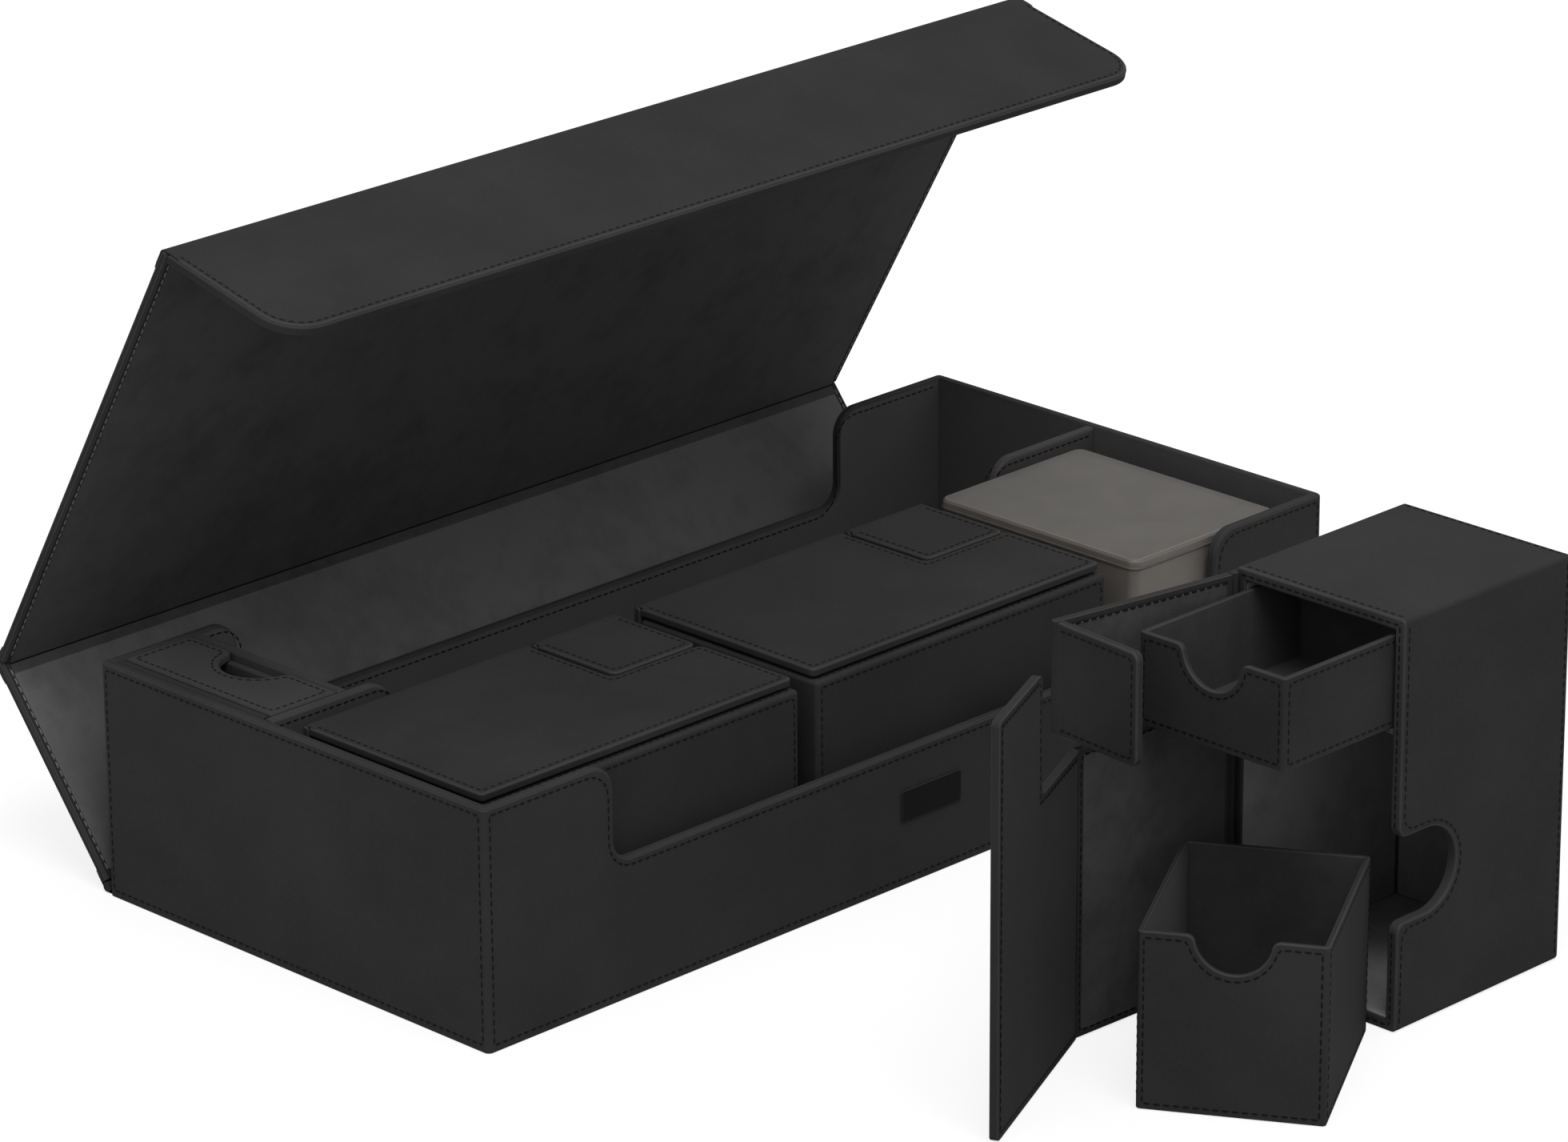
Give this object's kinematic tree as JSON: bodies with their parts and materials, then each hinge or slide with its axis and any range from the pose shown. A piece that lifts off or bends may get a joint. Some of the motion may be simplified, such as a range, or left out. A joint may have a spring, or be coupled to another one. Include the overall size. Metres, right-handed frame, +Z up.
{
  "type": "card storage box",
  "caption": "Long leather covered card storage box with a folding three panel lid, dividers, stored deck cases, a clear deck box and an open deck case with dice drawer and card tray.",
  "frame": {"origin": "middle of the underside of the large box", "axes": "+X to the right along the front of the box, +Y to its back, +Z up; the label is on the -Y side"},
  "size_m": [0.412, 0.4786, 0.241],
  "materials": {
    "leather": "fine grained, low sheen",
    "suede": "short soft nap",
    "label": "smooth, low sheen",
    "magnet": "plated",
    "clear_plastic": "frosted"
  },
  "bodies": {
    "box": {"box_floor": "leather", "floor_pad": "suede", "box_front_wall": "leather", "box_back_wall": "leather", "box_left_wall": "leather", "box_right_wall": "leather", "long_divider": "leather", "short_divider": "leather", "bay_ledge": "leather", "bay_strip": "leather", "label_patch": "label", "spine_strip": "leather"},
    "spine": {"spine_panel": "leather", "spine_lining": "suede"},
    "lid_top": {"top_panel": "leather", "top_lining": "suede"},
    "flap": {"flap_panel": "leather", "flap_lining": "suede", "magnet_left": "magnet", "magnet_right": "magnet"},
    "accessory_lid": {"accessory_lid": "leather"},
    "deck_a": {"deck_a_shell": "leather", "deck_a_shelf": "leather", "deck_a_strip": "leather", "deck_a_drawer": "leather", "deck_a_tray": "leather"},
    "deck_a_door": {"deck_a_door": "leather"},
    "deck_a_wrap": {"deck_a_wrap": "leather"},
    "deck_a_small_door": {"deck_a_small_door": "leather"},
    "deck_a_tab": {"deck_a_tab": "leather"},
    "deck_b": {"deck_b_shell": "leather", "deck_b_shelf": "leather", "deck_b_strip": "leather", "deck_b_drawer": "leather", "deck_b_tray": "leather"},
    "deck_b_door": {"deck_b_door": "leather"},
    "deck_b_wrap": {"deck_b_wrap": "leather"},
    "deck_b_small_door": {"deck_b_small_door": "leather"},
    "deck_b_tab": {"deck_b_tab": "leather"},
    "clear_box": {"clear_base": "clear_plastic"},
    "clear_lid": {"clear_lid": "clear_plastic"},
    "open_case": {"open_shell": "leather", "open_shelf": "leather", "open_lining": "suede", "open_strip": "leather"},
    "open_door": {"open_door": "leather", "open_door_lining": "suede"},
    "open_wrap": {"open_wrap": "leather", "open_wrap_lining": "suede"},
    "open_small_door": {"open_small_door": "leather", "open_small_door_lining": "suede"},
    "open_tab": {"open_tab": "leather"},
    "dice_drawer": {"open_drawer": "leather"},
    "card_tray": {"open_tray": "leather"}
  },
  "joints": [
    {"name": "spine_hinge", "type": "hinge", "parent": "box", "child": "spine", "pos_m": [0, 0.0971, 0.0021], "axis": [-1, 0, 0], "range_deg": [-38.5, 51.4]},
    {"name": "top_fold", "type": "hinge", "parent": "spine", "child": "lid_top", "pos_m": [0, 0.15064, 0.0694], "axis": [-1, 0, 0], "range_deg": [-22, 68]},
    {"name": "flap_fold", "type": "hinge", "parent": "lid_top", "child": "flap", "pos_m": [0, 0.05456, 0.23921], "axis": [-1, 0, 0], "range_deg": [-16.3, 73.7]},
    {"name": "accessory_lid_hinge", "type": "hinge", "parent": "box", "child": "accessory_lid", "pos_m": [-0.2003, 0.0535, 0.0845], "axis": [0, -1, 0], "range_deg": [0, 90]},
    {"name": "deck_a_lift", "type": "slide", "parent": "box", "child": "deck_a", "axis": [0, 0, 1], "range_m": [0, 0.1]},
    {"name": "deck_a_door_hinge", "type": "hinge", "parent": "deck_a", "child": "deck_a_door", "pos_m": [-0.14625, 0.001, 0.0113], "axis": [-1, 0, 0], "range_deg": [0, 6]},
    {"name": "deck_a_wrap_fold", "type": "hinge", "parent": "deck_a_door", "child": "deck_a_wrap", "pos_m": [-0.14625, 0.001, 0.0843], "axis": [-1, 0, 0], "range_deg": [0, 100]},
    {"name": "deck_a_small_door_hinge", "type": "hinge", "parent": "deck_a", "child": "deck_a_small_door", "pos_m": [-0.0735, 0.001, 0.0113], "axis": [-1, 0, 0], "range_deg": [0, 6]},
    {"name": "deck_a_tab_fold", "type": "hinge", "parent": "deck_a_small_door", "child": "deck_a_tab", "pos_m": [-0.0735, 0.001, 0.0843], "axis": [-1, 0, 0], "range_deg": [0, 100]},
    {"name": "deck_b_lift", "type": "slide", "parent": "box", "child": "deck_b", "axis": [0, 0, 1], "range_m": [0, 0.1]},
    {"name": "deck_b_door_hinge", "type": "hinge", "parent": "deck_b", "child": "deck_b_door", "pos_m": [0.00675, 0.001, 0.0113], "axis": [-1, 0, 0], "range_deg": [0, 6]},
    {"name": "deck_b_wrap_fold", "type": "hinge", "parent": "deck_b_door", "child": "deck_b_wrap", "pos_m": [0.00675, 0.001, 0.0843], "axis": [-1, 0, 0], "range_deg": [0, 100]},
    {"name": "deck_b_small_door_hinge", "type": "hinge", "parent": "deck_b", "child": "deck_b_small_door", "pos_m": [0.0795, 0.001, 0.0113], "axis": [-1, 0, 0], "range_deg": [0, 6]},
    {"name": "deck_b_tab_fold", "type": "hinge", "parent": "deck_b_small_door", "child": "deck_b_tab", "pos_m": [0.0795, 0.001, 0.0843], "axis": [-1, 0, 0], "range_deg": [0, 100]},
    {"name": "clear_box_lift", "type": "slide", "parent": "box", "child": "clear_box", "axis": [0, 0, 1], "range_m": [0, 0.1]},
    {"name": "clear_lid_lift", "type": "slide", "parent": "clear_box", "child": "clear_lid", "axis": [0, 0, 1], "range_m": [0, 0.05]},
    {"name": "open_case_lift", "type": "slide", "parent": "box", "child": "open_case", "axis": [0, 0, 1], "range_m": [0, 0.1]},
    {"name": "open_door_hinge", "type": "hinge", "parent": "open_case", "child": "open_door", "pos_m": [0.0088, -0.2253, 0.051], "axis": [0, 0, -1], "range_deg": [-8, 60]},
    {"name": "open_wrap_fold", "type": "hinge", "parent": "open_door", "child": "open_wrap", "pos_m": [-0.06416, -0.22275, 0.07225], "axis": [0, 0, -1], "range_deg": [-18, 20]},
    {"name": "open_small_door_hinge", "type": "hinge", "parent": "open_case", "child": "open_small_door", "pos_m": [0.0088, -0.2253, 0.124], "axis": [0, 0, -1], "range_deg": [-11, 55]},
    {"name": "open_tab_fold", "type": "hinge", "parent": "open_small_door", "child": "open_tab", "pos_m": [-0.06313, -0.21288, 0.124], "axis": [0, 0, -1], "range_deg": [0, 90]},
    {"name": "dice_drawer_slide", "type": "slide", "parent": "open_case", "child": "dice_drawer", "axis": [-1, 0, 0], "range_m": [-0.0528, 0.018]},
    {"name": "card_tray_pull", "type": "slide", "parent": "box", "child": "card_tray", "axis": [-0.8594, -0.5113, 0], "range_m": [0, 0.1]}
  ],
  "couplings": [
    {"joint": "deck_a_small_door_hinge", "follows": "deck_a_door_hinge", "ratio": 1},
    {"joint": "deck_b_small_door_hinge", "follows": "deck_b_door_hinge", "ratio": 1}
  ]
}
